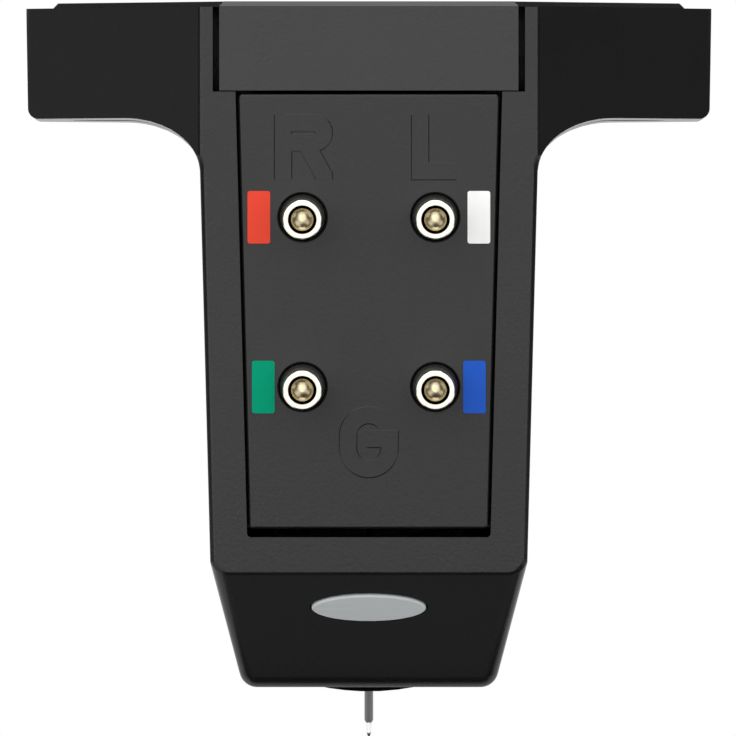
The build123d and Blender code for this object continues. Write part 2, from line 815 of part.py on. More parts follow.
# Leads from the back flanges of the bobbins to the pin tails
lead_ends = {
    "upper_left": "right_signal",
    "upper_right": "left_signal",
    "lower_left": "right_ground",
    "lower_right": "left_ground",
}
for name, pin_name in lead_ends.items():
    across, up = corners[name]
    landing = (across * (pole_offset + lead_landing), up * pole_offset)
    pin_x, height = pins[pin_name]
    route = [
        axis_plane(bobbin_back).from_local_coords((*landing, 0)),
        axis_plane(shield_back + lead_stub).from_local_coords((*landing, 0)),
        rear_plane.from_local_coords((pin_x, height, tail_end - lead_stub)),
        rear_plane.from_local_coords((pin_x, height, tail_end)),
    ]
    radii = [corner_radius(*route[i:i + 3]) for i in range(len(route) - 2)]
    with BuildPart() as lead:
        with BuildLine() as path:
            FilletPolyline(*route, radius=radii)
        with BuildSketch(axis_plane(bobbin_back)):
            with Locations(landing):
                Circle(lead_radius)
        sweep(path=path.line)
    save(lead, f"lead_{pin_name}")
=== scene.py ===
"""Looks of a moving-magnet record-player cartridge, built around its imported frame.

All sizes are in metres, in the frame's own axes: +Y runs forward to the stylus, +Z up into the
headshell, and the four output pins face -Y, towards the camera.
"""

import json
import logging
import math
from dataclasses import dataclass, field
from enum import Enum
from typing import Any, Sequence

import bpy
import numpy as np
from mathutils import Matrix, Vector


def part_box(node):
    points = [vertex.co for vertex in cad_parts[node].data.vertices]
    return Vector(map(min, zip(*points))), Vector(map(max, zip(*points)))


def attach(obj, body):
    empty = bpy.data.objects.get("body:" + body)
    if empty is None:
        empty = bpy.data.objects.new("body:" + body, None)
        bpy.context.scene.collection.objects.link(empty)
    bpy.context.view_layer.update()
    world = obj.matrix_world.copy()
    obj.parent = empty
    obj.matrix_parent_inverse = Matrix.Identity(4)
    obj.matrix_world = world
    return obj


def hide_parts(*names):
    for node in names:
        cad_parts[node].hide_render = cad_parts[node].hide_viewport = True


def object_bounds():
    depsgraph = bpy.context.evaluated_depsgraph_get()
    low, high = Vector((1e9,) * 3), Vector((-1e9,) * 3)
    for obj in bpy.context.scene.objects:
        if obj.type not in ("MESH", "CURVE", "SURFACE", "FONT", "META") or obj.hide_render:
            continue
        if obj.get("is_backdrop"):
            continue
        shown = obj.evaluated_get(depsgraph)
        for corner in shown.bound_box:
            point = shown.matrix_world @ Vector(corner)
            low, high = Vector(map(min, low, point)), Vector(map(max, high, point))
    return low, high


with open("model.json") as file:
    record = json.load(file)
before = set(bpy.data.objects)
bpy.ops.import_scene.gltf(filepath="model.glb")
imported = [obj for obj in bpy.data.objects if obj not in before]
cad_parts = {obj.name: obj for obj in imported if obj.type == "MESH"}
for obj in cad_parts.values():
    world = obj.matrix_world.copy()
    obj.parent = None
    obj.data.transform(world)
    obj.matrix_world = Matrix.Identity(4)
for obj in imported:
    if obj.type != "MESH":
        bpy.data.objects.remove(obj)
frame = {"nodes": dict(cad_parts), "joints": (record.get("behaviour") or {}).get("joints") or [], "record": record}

MM = 0.001
MICRON = 0.000001
LOG = logging.getLogger("cartridge")
SIDE = np.array([1.0, 0.0, 0.0])
VECTOR, FLOAT = "NodeSocketVector", "NodeSocketFloat"
BLACK, WHITE = (0.0, 0.0, 0.0, 1.0), (1.0, 1.0, 1.0, 1.0)

Colour = tuple[float, float, float]
Place = tuple[float, float, float]
Span = tuple[float, float]
Socket = bpy.types.NodeSocket
Sockets = dict[str, Socket]


# Surfaces

def unit(vector: Sequence[float]) -> np.ndarray:
    """Return a vector at length one."""
    array = np.asarray(vector, float)
    return array / np.linalg.norm(array)


def box_middle(node: str) -> np.ndarray:
    """Return the middle of a frame node's box."""
    low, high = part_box(node)
    return (np.array(low) + np.array(high)) / 2


def box_size(node: str) -> np.ndarray:
    """Return the three side lengths of a frame node's box."""
    low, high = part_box(node)
    return np.array(high) - np.array(low)


def arc(centre: tuple[float, float], radius: float, start: float, stop: float, steps: int) -> np.ndarray:
    """Points on a circle: the centre plus the radius times (cosine, sine) of evenly spread angles.

    Args:
        centre: middle of the circle.
        radius: its radius.
        start: first angle in degrees.
        stop: last angle in degrees.
        steps: number of points.

    Returns:
        An array of steps rows, two columns.
    """
    angles = np.radians(np.linspace(start, stop, steps))
    return np.array(centre) + radius * np.stack([np.cos(angles), np.sin(angles)], axis=1)


def solid_from_grid(name: str, points: np.ndarray, closed_rows: bool = False,
                    crease: float = 180.0) -> bpy.types.Object:
    """Skin a grid of points with faces, as one closed smooth solid at the origin.

    Point (i, j) is joined to (i + 1, j), (i + 1, j + 1) and (i, j + 1). The columns always close up,
    and points that coincide are merged, so a row that shrinks to one place becomes a pole. The faces
    are turned so that the enclosed volume, the sum of the tetrahedra to the origin, is positive.

    Args:
        name: name of the new object.
        points: array of rows, columns and three coordinates.
        closed_rows: join the last row to the first.
        crease: edges that turn by more degrees than this stay sharp.

    Returns:
        The new object, linked to the scene.
    """
    rows, columns = points.shape[:2]
    index = np.arange(rows * columns).reshape(rows, columns)
    index = np.hstack([index, index[:, :1]])
    if closed_rows:
        index = np.vstack([index, index[:1]])
    flat = points.reshape(-1, 3)
    merge_step = MICRON / 100
    _, first, inverse = np.unique(np.round(flat / merge_step), axis=0, return_index=True, return_inverse=True)
    vertices = flat[first]
    corners = np.stack([index[:-1, :-1], index[1:, :-1], index[1:, 1:], index[:-1, 1:]], axis=-1)
    corners = inverse.reshape(-1)[corners].reshape(-1, 4)
    triangles = np.vstack([corners[:, [0, 1, 2]], corners[:, [0, 2, 3]]])
    volume = np.einsum("ij,ij->i", vertices[triangles[:, 0]],
                       np.cross(vertices[triangles[:, 1]], vertices[triangles[:, 2]])).sum()
    if volume < 0:
        corners = corners[:, ::-1]
    repeated = corners == np.roll(corners, -1, axis=1)
    quads = corners[~repeated.any(axis=1)]
    single = repeated.sum(axis=1) == 1
    keep = ~repeated[single]
    folded = corners[single][keep].reshape(-1, 3)
    mesh = bpy.data.meshes.new(name)
    mesh.from_pydata(vertices.tolist(), [], quads.tolist() + folded.tolist())
    mesh.polygons.foreach_set("use_smooth", np.ones(len(mesh.polygons), bool))
    mesh.update()
    mesh.validate()
    mesh.set_sharp_from_angle(angle=math.radians(crease))
    piece = bpy.data.objects.new(name, mesh)
    bpy.context.scene.collection.objects.link(piece)
    return piece


def carried(section: np.ndarray, path: np.ndarray, plane: "PlatePlane") -> np.ndarray:
    """Carry a section along a flat path with mitred corners and closed ends.

    Each row is path + across * normal / cos(half the corner's turn) + up * plane normal, and one row
    at each end shrinks to the section's middle, which closes the end.

    Args:
        section: (across, up) rows of a closed section.
        path: (x, height) rows on the plate.
        plane: the plate's surface.

    Returns:
        A grid of path rows by section columns.
    """
    runs = np.diff(path, axis=0)
    runs /= np.linalg.norm(runs, axis=1)[:, None]
    normals = np.stack([-runs[:, 1], runs[:, 0]], axis=1)
    joints = np.vstack([normals[:1], normals[:-1] + normals[1:], normals[-1:]])
    joints /= np.linalg.norm(joints, axis=1)[:, None]
    first = np.vstack([normals, normals[-1:]])
    mitre = joints / np.einsum("ij,ij->i", joints, first)[:, None]
    flat = path[:, None, :] + section[None, :, :1] * mitre[:, None, :]
    grid = plane.place(flat, np.broadcast_to(section[:, 1], flat.shape[:2]))
    ends = grid[[0, -1]].mean(axis=1, keepdims=True)
    caps = np.broadcast_to(ends, (2, grid.shape[1], 3))
    return np.concatenate([caps[:1], grid, caps[1:]])


@dataclass(frozen=True)
class PlatePlane:
    """The drafted rear face that the terminal plate and the pins share."""

    origin: np.ndarray
    normal: np.ndarray

    @classmethod
    def from_record(cls) -> "PlatePlane":
        """Take the plane's direction from a pin's axis and its place from the terminal plate's box.

        Returns:
            The plane.
        """
        pins = [mount for mount in frame["record"]["mounts"] if mount["kind"] == "pin"]
        normal = unit(pins[0]["axis"])
        low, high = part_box("terminal_plate")
        lean = normal[2] / normal[1]
        return cls(np.array([0.0, low[1] + lean * high[2], 0.0]), normal)

    @property
    def up(self) -> np.ndarray:
        """Direction up the plate."""
        return np.cross(SIDE, -self.normal)

    def place(self, flat: np.ndarray, lift: np.ndarray) -> np.ndarray:
        """Place (x, height) points on the plate, lifted along its normal.

        Args:
            flat: points with x and height in the last axis.
            lift: distance of each point above the plate.

        Returns:
            The same points with three coordinates in the last axis.
        """
        return self.origin + flat[..., :1] * SIDE + flat[..., 1:] * self.up + lift[..., None] * self.normal


# Shader groups

class Graph:
    """A node tree that is being built."""

    def __init__(self, tree: bpy.types.NodeTree) -> None:
        """Start on a tree with its nodes cleared."""
        self.tree = tree
        tree.nodes.clear()

    def add(self, kind: str, inputs: dict[str | int, Any] | None = None, **settings: Any) -> bpy.types.Node:
        """Add a node, set its properties, and set or link its inputs.

        Args:
            kind: Blender's name of the node type.
            inputs: value or socket for each named or numbered input.
            settings: properties of the node.

        Returns:
            The new node.
        """
        node = self.tree.nodes.new(kind)
        for name, value in settings.items():
            setattr(node, name, value)
        self.fill(node, inputs or {})
        return node

    def fill(self, node: bpy.types.Node, inputs: dict[str | int, Any]) -> None:
        """Set or link a node's inputs.

        Args:
            node: the node.
            inputs: value or socket for each named or numbered input.
        """
        for name, value in inputs.items():
            if isinstance(value, Socket):
                self.tree.links.new(value, node.inputs[name])
            else:
                node.inputs[name].default_value = value

    def math(self, operation: str, *values: Any, clamp: bool = False) -> Socket:
        """Add a Math node on one to three values or sockets and return its result."""
        node = self.add("ShaderNodeMath", dict(enumerate(values)), operation=operation, use_clamp=clamp)
        return node.outputs[0]

    def noise(self, vector: Socket, scale: Any, detail: float, roughness: float = 0.5) -> Socket:
        """Add a Noise texture.

        Args:
            vector: the place that it reads.
            scale: its density, a value or a socket.
            detail: number of octaves.
            roughness: weight of the finer octaves.

        Returns:
            Its value.
        """
        node = self.add("ShaderNodeTexNoise", {"Vector": vector, "Scale": scale, "Detail": detail,
                                               "Roughness": roughness})
        return node.outputs["Fac"]

    def blend(self, factor: Socket, first: Any, second: Any) -> Socket:
        """Mix two colours, each a value or a socket.

        Args:
            factor: share of the second colour.
            first: colour at 0.
            second: colour at 1.

        Returns:
            The mixed colour.
        """
        node = self.add("ShaderNodeMix", {"Factor": factor}, data_type="RGBA")
        for name, value in (("A", first), ("B", second)):
            socket = [s for s in node.inputs if s.name == name and s.type == "RGBA"][0]
            if isinstance(value, Socket):
                self.tree.links.new(value, socket)
            else:
                socket.default_value = (*value, 1.0)
        return [s for s in node.outputs if s.type == "RGBA"][0]

    def spread(self, value: Socket, low: float, high: float) -> Socket:
        """Map a value from 0 to 1 onto a range and return it."""
        node = self.add("ShaderNodeMapRange", {"Value": value, "To Min": low, "To Max": high})
        return node.outputs["Result"]

    def about_axis(self, vector: Socket) -> tuple[Socket, Socket]:
        """Cylinder coordinates about Z: the distance sqrt(x^2 + y^2) and the height z.

        Args:
            vector: the place.

        Returns:
            The distance and the height.
        """
        parts = self.add("ShaderNodeSeparateXYZ", {0: vector}).outputs
        squares = [self.math("MULTIPLY", parts[name], parts[name]) for name in ("X", "Y")]
        return self.math("SQRT", self.math("ADD", *squares)), parts["Z"]


class ShaderGroup:
    """A shader node group with named inputs and outputs, built once."""

    def __init__(self, name: str, inputs: dict[str, str], outputs: Sequence[str]) -> None:
        """Make the group and its sockets.

        Args:
            name: name of the group.
            inputs: socket type of each named input.
            outputs: names of the float outputs.
        """
        self.tree = bpy.data.node_groups.new(name, "ShaderNodeTree")
        for label, kind in inputs.items():
            self.tree.interface.new_socket(label, in_out="INPUT", socket_type=kind)
        for label in outputs:
            self.tree.interface.new_socket(label, in_out="OUTPUT", socket_type=FLOAT)
        self.graph = Graph(self.tree)
        self.entry = self.graph.add("NodeGroupInput").outputs
        self.exit = self.graph.add("NodeGroupOutput").inputs

    def give(self, **results: Socket) -> None:
        """Link each result to the output of that name."""
        for label, socket in results.items():
            self.tree.links.new(socket, self.exit[label])

    def use(self, graph: Graph, **inputs: Any) -> Sockets:
        """Place the group in a material.

        Args:
            graph: the material's tree.
            inputs: value or socket for each input.

        Returns:
            The group's output sockets by name.
        """
        node = graph.add("ShaderNodeGroup", node_tree=self.tree)
        graph.fill(node, inputs)
        return {socket.name: socket for socket in node.outputs}


def mould_grain() -> ShaderGroup:
    """Spark-eroded mould texture: fine noise over rounded cells, with a broad mottle for the shade.

    Returns:
        The group, with Height and Shade.
    """
    cell_density, cell_weight, mottle_density = 0.6, 0.55, 0.035
    group = ShaderGroup("mould_grain", {"Vector": VECTOR, "Grain": FLOAT}, ("Height", "Shade"))
    graph, place = group.graph, group.entry["Vector"]
    density = graph.math("DIVIDE", 1.0, group.entry["Grain"])
    fine = graph.noise(place, density, detail=2.0, roughness=0.6)
    cells = graph.add("ShaderNodeTexVoronoi", {"Vector": place,
                                               "Scale": graph.math("MULTIPLY", density, cell_density)})
    height = graph.math("MULTIPLY_ADD", cells.outputs["Distance"], cell_weight, fine)
    broad = graph.math("MULTIPLY", density, mottle_density)
    group.give(Height=height, Shade=graph.noise(place, broad, detail=4.0, roughness=0.6))
    return group


def rubbed_edge() -> ShaderGroup:
    """Mask of edges polished by handling: how far the surface turns within a small radius.

    Returns:
        The group, with Edge.
    """
    group = ShaderGroup("rubbed_edge", {"Radius": FLOAT, "Gain": FLOAT}, ("Edge",))
    graph = group.graph
    bevel = graph.add("ShaderNodeBevel", {"Radius": group.entry["Radius"]}, samples=6)
    surface = graph.add("ShaderNodeNewGeometry").outputs["Normal"]
    facing = graph.add("ShaderNodeVectorMath", {0: bevel.outputs["Normal"], 1: surface},
                       operation="DOT_PRODUCT").outputs["Value"]
    turn = graph.math("SUBTRACT", 1.0, facing, clamp=True)
    group.give(Edge=graph.math("MULTIPLY", turn, group.entry["Gain"], clamp=True))
    return group


def drawn_streaks() -> ShaderGroup:
    """Long drawn or brushed marks: noise stretched along the vector's Y direction.

    Returns:
        The group, with Height and Shade.
    """
    shade_density = 0.21
    group = ShaderGroup("drawn_streaks", {"Vector": VECTOR, "Width": FLOAT, "Stretch": FLOAT},
                        ("Height", "Shade"))
    graph = group.graph
    density = graph.math("DIVIDE", 1.0, group.entry["Width"])
    slow = graph.math("DIVIDE", density, group.entry["Stretch"])
    scale = graph.add("ShaderNodeCombineXYZ", {"X": density, "Y": slow, "Z": density}).outputs[0]
    stretched = graph.add("ShaderNodeVectorMath", {0: group.entry["Vector"], 1: scale},
                          operation="MULTIPLY").outputs["Vector"]
    group.give(Height=graph.noise(stretched, 1.0, detail=3.0, roughness=0.65),
               Shade=graph.noise(stretched, shade_density, detail=2.0))
    return group


def lathe_rings() -> ShaderGroup:
    """Turning marks: one-dimensional noise over the distance from the Z axis plus the height along it.

    Returns:
        The group, with Height and Shade.
    """
    shade_density = 0.12
    group = ShaderGroup("lathe_rings", {"Vector": VECTOR, "Pitch": FLOAT}, ("Height", "Shade"))
    graph, pitch = group.graph, group.entry["Pitch"]
    radius, height = graph.about_axis(group.entry["Vector"])
    travel = graph.math("DIVIDE", graph.math("ADD", radius, height), pitch)
    rings = graph.add("ShaderNodeTexNoise", {"W": travel, "Scale": 1.0, "Detail": 2.0}, noise_dimensions="1D")
    shade = graph.noise(group.entry["Vector"], graph.math("DIVIDE", shade_density, pitch), detail=3.0)
    group.give(Height=rings.outputs["Fac"], Shade=shade)
    return group


def painted_groove_shade() -> ShaderGroup:
    """Mask of narrow grooves, used to paint shade into them: one where most of the sky within a short reach is
    covered, else zero.

    Returns:
        The group, with Mask, which is start + steepness * sky held between zero and one.
    """
    steepness, start = -4.0, 1.4
    group = ShaderGroup("painted_groove_shade", {"Reach": FLOAT}, ("Mask",))
    graph = group.graph
    sky = graph.add("ShaderNodeAmbientOcclusion", {"Distance": group.entry["Reach"]}, samples=8).outputs["AO"]
    group.give(Mask=graph.math("MULTIPLY_ADD", sky, steepness, start, clamp=True))
    return group


def bore_shade() -> ShaderGroup:
    """Mask of a deep bore about the Z axis: one inside a radius and below a level, else zero.

    Returns:
        The group, with Mask.
    """
    group = ShaderGroup("bore_shade", {"Vector": VECTOR, "Radius": FLOAT, "Level": FLOAT}, ("Mask",))
    graph = group.graph
    radius, height = graph.about_axis(group.entry["Vector"])
    inside = graph.math("LESS_THAN", radius, group.entry["Radius"])
    deep = graph.math("LESS_THAN", height, group.entry["Level"])
    group.give(Mask=graph.math("MULTIPLY", inside, deep))
    return group


@dataclass(frozen=True)
class ShaderKit:
    """The shared shader groups."""

    bore: ShaderGroup = field(default_factory=bore_shade)
    groove_shade: ShaderGroup = field(default_factory=painted_groove_shade)
    grain: ShaderGroup = field(default_factory=mould_grain)
    edge: ShaderGroup = field(default_factory=rubbed_edge)
    streaks: ShaderGroup = field(default_factory=drawn_streaks)
    rings: ShaderGroup = field(default_factory=lathe_rings)


# Finishes

def scaled(colour: Colour, factor: float) -> Colour:
    """Return a colour made lighter or darker by a factor."""
    return tuple(min(1.0, part * factor) for part in colour)


@dataclass(frozen=True)
class Finish:
    """A surface finish: base class that builds a material around one Principled shader.

    The tones are factors on the colour at its darkest and lightest places, the wear is added to the
    roughness at the two ends, and each of them follows the named output of the finish's pattern. The
    depth is that of the pattern's relief.
    """

    name: str
    colour: Colour
    roughness: float
    tones: Span = (1.0, 1.0)
    tone_map: str = "Shade"
    wear: Span = (0.0, 0.0)
    wear_map: str = "Shade"
    depth: float = 0.0

    def place(self, graph: Graph, origin: Place = (0.0, 0.0, 0.0), turn: Place = (0.0, 0.0, 0.0)) -> Socket:
        """Object coordinates, moved to an origin and turned.

        Args:
            graph: the material's tree.
            origin: place that becomes zero.
            turn: rotation about X, Y and Z in radians.

        Returns:
            The mapped coordinates.
        """
        coordinates = graph.add("ShaderNodeTexCoord").outputs["Object"]
        inputs = {"Vector": coordinates, "Location": origin, "Rotation": turn}
        return graph.add("ShaderNodeMapping", inputs, vector_type="TEXTURE").outputs["Vector"]

    def pattern(self, kit: ShaderKit, graph: Graph) -> Sockets:
        """Return the outputs of the shader group that the finish follows, which is its own choice."""
        raise NotImplementedError

    def varied(self, kit: ShaderKit, graph: Graph, pattern: Sockets) -> Sockets:
        """Work out the shader's inputs that vary over the surface.

        Args:
            kit: the shared shader groups, not used here.
            graph: the material's tree.
            pattern: the outputs that the finish follows.

        Returns:
            A socket for each input.
        """
        dark, light = (scaled(self.colour, factor) for factor in self.tones)
        low, high = (self.roughness + offset for offset in self.wear)
        return {"Base Color": graph.blend(pattern[self.tone_map], dark, light),
                "Roughness": graph.spread(pattern[self.wear_map], low, high)}

    def plain(self) -> dict[str, float]:
        """Return the shader's inputs that are the same all over the surface."""
        return {}

    def material(self, kit: ShaderKit) -> bpy.types.Material:
        """Build the material: what varies, the relief and what is plain.

        Args:
            kit: the shared shader groups.

        Returns:
            The material.
        """
        material = bpy.data.materials.new(self.name)
        material.use_nodes = True
        graph = Graph(material.node_tree)
        pattern = self.pattern(kit, graph)
        inputs = self.varied(kit, graph, pattern)
        if self.depth:
            bump = graph.add("ShaderNodeBump", {"Height": pattern["Height"], "Distance": self.depth,
                                                "Strength": 1.0})
            inputs["Normal"] = bump.outputs["Normal"]
        shader = graph.add("ShaderNodeBsdfPrincipled", {**inputs, **self.plain()})
        graph.add("ShaderNodeOutputMaterial", {"Surface": shader.outputs["BSDF"]})
        return material


@dataclass(frozen=True)
class MouldedPlastic(Finish):
    """Fine-grained moulding with a slight mottle, edges polished by handling, and painted shade in the grooves,
    which are also made rough.
    """

    tones: Span = (0.82, 1.18)
    wear: Span = (-0.05, 0.05)
    depth: float = 2.5 * MICRON
    grain: float = 0.07 * MM
    specular: float = 0.5
    edge_radius: float = 0.07 * MM
    edge_gain: float = 1.2
    edge_share: float = 0.5
    edge_tone: float = 1.6
    edge_polish: float = 0.1
    # Painted shade in narrow grooves: how far the mask reaches, and the factor on the colour there.
    groove_reach: float = 0.4 * MM
    groove_shade_tone: float = 0.2

    def pattern(self, kit: ShaderKit, graph: Graph) -> Sockets:
        """Return mould grain."""
        return kit.grain.use(graph, Vector=self.place(graph), Grain=self.grain)

    def varied(self, kit: ShaderKit, graph: Graph, pattern: Sockets) -> Sockets:
        """Polish the edges, and paint shade into the grooves and make them rough.

        Args:
            kit: the shared shader groups.
            graph: the material's tree.
            pattern: mould grain.

        Returns:
            The colour and the roughness.
        """
        mottled = super().varied(kit, graph, pattern)
        edge = kit.edge.use(graph, Radius=self.edge_radius, Gain=self.edge_gain)["Edge"]
        groove_shade = kit.groove_shade.use(graph, Reach=self.groove_reach)["Mask"]
        colour = graph.blend(graph.math("MULTIPLY", edge, self.edge_share), mottled["Base Color"],
                             scaled(self.colour, self.edge_tone))
        polished = graph.math("MULTIPLY_ADD", edge, -self.edge_polish, mottled["Roughness"])
        # Painted shade: the colour darkens towards the groove tone where the AO mask finds a narrow groove, and
        # the roughness there rises to one.
        return {"Base Color": graph.blend(groove_shade, colour, scaled(self.colour, self.groove_shade_tone)),
                "Roughness": graph.math("MAXIMUM", polished, groove_shade)}

    def plain(self) -> dict[str, float]:
        """Return the gloss."""
        return {"Specular IOR Level": self.specular}


@dataclass(frozen=True)
class TurnedMetal(Finish):
    """Lathe-turned metal with ring marks about an axis."""

    tones: Span = (0.86, 1.08)
    wear: Span = (0.06, -0.06)
    depth: float = 0.5 * MICRON
    origin: Place = (0.0, 0.0, 0.0)
    turn: Place = (0.0, 0.0, 0.0)
    pitch: float = 0.02 * MM

    def pattern(self, kit: ShaderKit, graph: Graph) -> Sockets:
        """Return the place about the axis and lathe rings on it."""
        place = self.place(graph, self.origin, self.turn)
        return {"Place": place, **kit.rings.use(graph, Vector=place, Pitch=self.pitch)}

    def plain(self) -> dict[str, float]:
        """Return bare metal."""
        return {"Metallic": 1.0}


@dataclass(frozen=True)
class StreakedMetal(Finish):
    """Brushed, drawn or ground metal with streaks along one direction."""

    tones: Span = (0.88, 1.08)
    wear: Span = (-0.07, 0.07)
    wear_map: str = "Height"
    depth: float = 0.6 * MICRON
    turn: Place = (0.0, 0.0, 0.0)
    width: float = 0.012 * MM
    stretch: float = 40.0
    metallic: float = 1.0

    def pattern(self, kit: ShaderKit, graph: Graph) -> Sockets:
        """Return drawn streaks."""
        place = self.place(graph, turn=self.turn)
        return kit.streaks.use(graph, Vector=place, Width=self.width, Stretch=self.stretch)

    def plain(self) -> dict[str, float]:
        """Return how metallic it is."""
        return {"Metallic": self.metallic}


@dataclass(frozen=True)
class EnamelledWire(Finish):
    """Copper wire under a clear enamel."""

    tones: Span = (0.7, 1.15)
    tone_map: str = "Height"
    wear: Span = (-0.05, 0.08)
    wear_map: str = "Height"
    patch: float = 0.3 * MM
    enamel: float = 0.6
    enamel_roughness: float = 0.15

    def pattern(self, kit: ShaderKit, graph: Graph) -> Sockets:
        """Return patches of grain."""
        return kit.grain.use(graph, Vector=self.place(graph), Grain=self.patch)

    def plain(self) -> dict[str, float]:
        """Return bare metal under a coat."""
        return {"Metallic": 1.0, "Coat Weight": self.enamel, "Coat Roughness": self.enamel_roughness}


@dataclass(frozen=True)
class PrintedColour(Finish):
    """Opaque printing ink with slightly uneven cover."""

    tones: Span = (0.95, 1.05)
    wear: Span = (-0.06, 0.06)
    wear_map: str = "Height"
    depth: float = 0.8 * MICRON
    grain: float = 0.03 * MM
    specular: float = 0.04

    def pattern(self, kit: ShaderKit, graph: Graph) -> Sockets:
        """Return fine grain."""
        return kit.grain.use(graph, Vector=self.place(graph), Grain=self.grain)

    def plain(self) -> dict[str, float]:
        """Return the gloss."""
        return {"Specular IOR Level": self.specular}


@dataclass(frozen=True)
class PolishedGem(Finish):
    """Clear diamond with faint lapping marks."""

    tones: Span = (0.96, 1.0)
    wear: Span = (0.0, 0.05)
    depth: float = 0.2 * MICRON
    index: float = 2.417
    pitch: float = 0.01 * MM

    def pattern(self, kit: ShaderKit, graph: Graph) -> Sockets:
        """Return fine rings."""
        return kit.rings.use(graph, Vector=self.place(graph), Pitch=self.pitch)

    def plain(self) -> dict[str, float]:
        """Return clear stone."""
        return {"IOR": self.index, "Transmission Weight": 1.0}


def dress(names: Sequence[str], material: bpy.types.Material) -> None:
    """Give frame nodes a material in their own slots.

    Args:
        names: names of the nodes.
        material: the finish.
    """
    for name in names:
        for slot in frame["nodes"][name].material_slots:
            slot.material = material
        LOG.info("dressed %s with %s", name, material.name)


def fit(piece: bpy.types.Object, material: bpy.types.Material, body: str) -> None:
    """Finish a new piece: give it its material and its body.

    Args:
        piece: the new object.
        material: its finish.
        body: the frame body that carries it.
    """
    piece.data.materials.append(material)
    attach(piece, body)
    LOG.info("built %s on %s, %d faces", piece.name, body, len(piece.data.polygons))


# Sub-assemblies

@dataclass
class Casing:
    """The moulded body, its mounting plate, the terminal plate and the stylus holder."""

    shell: MouldedPlastic = MouldedPlastic("shell_moulding", (0.0062, 0.0064, 0.0064), 0.28, specular=0.49)
    mount: MouldedPlastic = MouldedPlastic("mount_moulding", (0.0064, 0.0064, 0.0064), 0.28, specular=0.593)
    plate: MouldedPlastic = MouldedPlastic("plate_moulding", (0.0064, 0.0064, 0.0064), 0.3, specular=0.485)
    holder: MouldedPlastic = MouldedPlastic("holder_moulding", (0.0062, 0.0064, 0.0064), 0.28, specular=0.49)

    def dress(self, kit: ShaderKit) -> bpy.types.Material:
        """Dress the four mouldings.

        Args:
            kit: the shared shader groups.

        Returns:
            The terminal plate's material.
        """
        plate = self.plate.material(kit)
        dress(["body_shell"], self.shell.material(kit))
        dress(["mount_plate"], self.mount.material(kit))
        dress(["terminal_plate"], plate)
        dress(["stylus_holder"], self.holder.material(kit))
        return plate


class Mark(Enum):
    """The raised marks on the terminal plate."""

    RIGHT = "mark_right"
    LEFT = "mark_left"
    GROUND = "mark_ground"


@dataclass
class PlateMarks:
    """Raised letters for right, left and ground, moulded on the terminal plate."""

    plane: PlatePlane
    stroke: float = 0.42 * MM
    rise: float = 0.012 * MM
    step: float = 0.0004 * MM
    slope: float = 0.03 * MM
    sunk: float = 0.05 * MM
    crease: float = 6.0
    top: float = -2.9 * MM
    height: float = 1.65 * MM
    right_start: float = -2.4 * MM
    right_width: float = 1.46 * MM
    left_start: float = 1.1 * MM
    left_width: float = 1.14 * MM
    bowl_share: float = 0.56
    bowl_points: int = 25
    ground_top: float = -10.36 * MM
    ground_height: float = 1.8 * MM
    ground_radius: float = 0.53 * MM
    ground_spur: float = 0.24 * MM
    ground_opening: float = 48.0
    ground_bar: float = -0.05 * MM
    ground_points: tuple[int, int] = (21, 29)

    def section(self, drop: float) -> np.ndarray:
        """Section of a stroke: a low plateau with sloping sides, sunk a little into the plate.

        Args:
            drop: how far the plateau lies below the full rise, so that crossing strokes don't share a face.

        Returns:
            Points across the stroke and above the plate.
        """
        half, foot = self.stroke / 2, self.stroke / 2 + self.slope
        right = np.array([(foot, -self.sunk), (foot, 0.0), (half, self.rise - drop)])
        return np.vstack([right, right[::-1] * (-1, 1)])

    def letter_r(self) -> list[np.ndarray]:
        """Lay out the first letter: a stem, a bowl with a half circle between two straights, and a bent leg.

        Returns:
            The paths of its three strokes.
        """
        half = self.stroke / 2
        stem, end = self.right_start + half, self.right_start + self.right_width - half
        bottom = self.top - self.height
        radius = (self.bowl_share * self.height - self.stroke) / 2
        turn = end - radius
        middle = self.top - half - radius
        waist = middle - radius
        curve = arc((turn, middle), radius, 90.0, -90.0, self.bowl_points)
        bowl = np.vstack([[(stem, self.top - half)], curve, [(stem, waist)]])
        leg = np.array([(turn - half, waist), (end, bottom + half / 2), (end, bottom)])
        return [np.array([(stem, self.top), (stem, bottom)]), bowl, leg]

    def letter_l(self) -> list[np.ndarray]:
        """Lay out the second letter: down the stem and along the foot, with one mitred corner.

        Returns:
            The path of its one stroke.
        """
        half = self.stroke / 2
        stem, foot = self.left_start + half, self.top - self.height + half
        return [np.array([(stem, self.top), (stem, foot), (self.left_start + self.left_width, foot)])]

    def letter_g(self) -> list[np.ndarray]:
        """Lay out the third letter: an upper arc, a straight, a lower half circle, a spur and a mitred bar.

        Returns:
            The path of its one stroke.
        """
        radius, half = self.ground_radius, self.stroke / 2
        upper = self.ground_top - half - radius
        lower = self.ground_top - self.ground_height + half + radius
        level = lower + self.ground_spur
        upper_points, lower_points = self.ground_points
        return [np.vstack([arc((0.0, upper), radius, self.ground_opening, 180.0, upper_points),
                           arc((0.0, lower), radius, 180.0, 360.0, lower_points),
                           [(radius, level), (self.ground_bar, level)]])]

    def build(self, material: bpy.types.Material) -> None:
        """Build the marks and let them ride on the body.

        Args:
            material: the terminal plate's material.
        """
        marks = {Mark.RIGHT: self.letter_r(), Mark.LEFT: self.letter_l(), Mark.GROUND: self.letter_g()}
        for mark, paths in marks.items():
            for number, path in enumerate(paths):
                grid = carried(self.section(number * self.step), path, self.plane)
                piece = solid_from_grid(f"{mark.value}_{number + 1}", grid, crease=self.crease)
                fit(piece, material, "body")


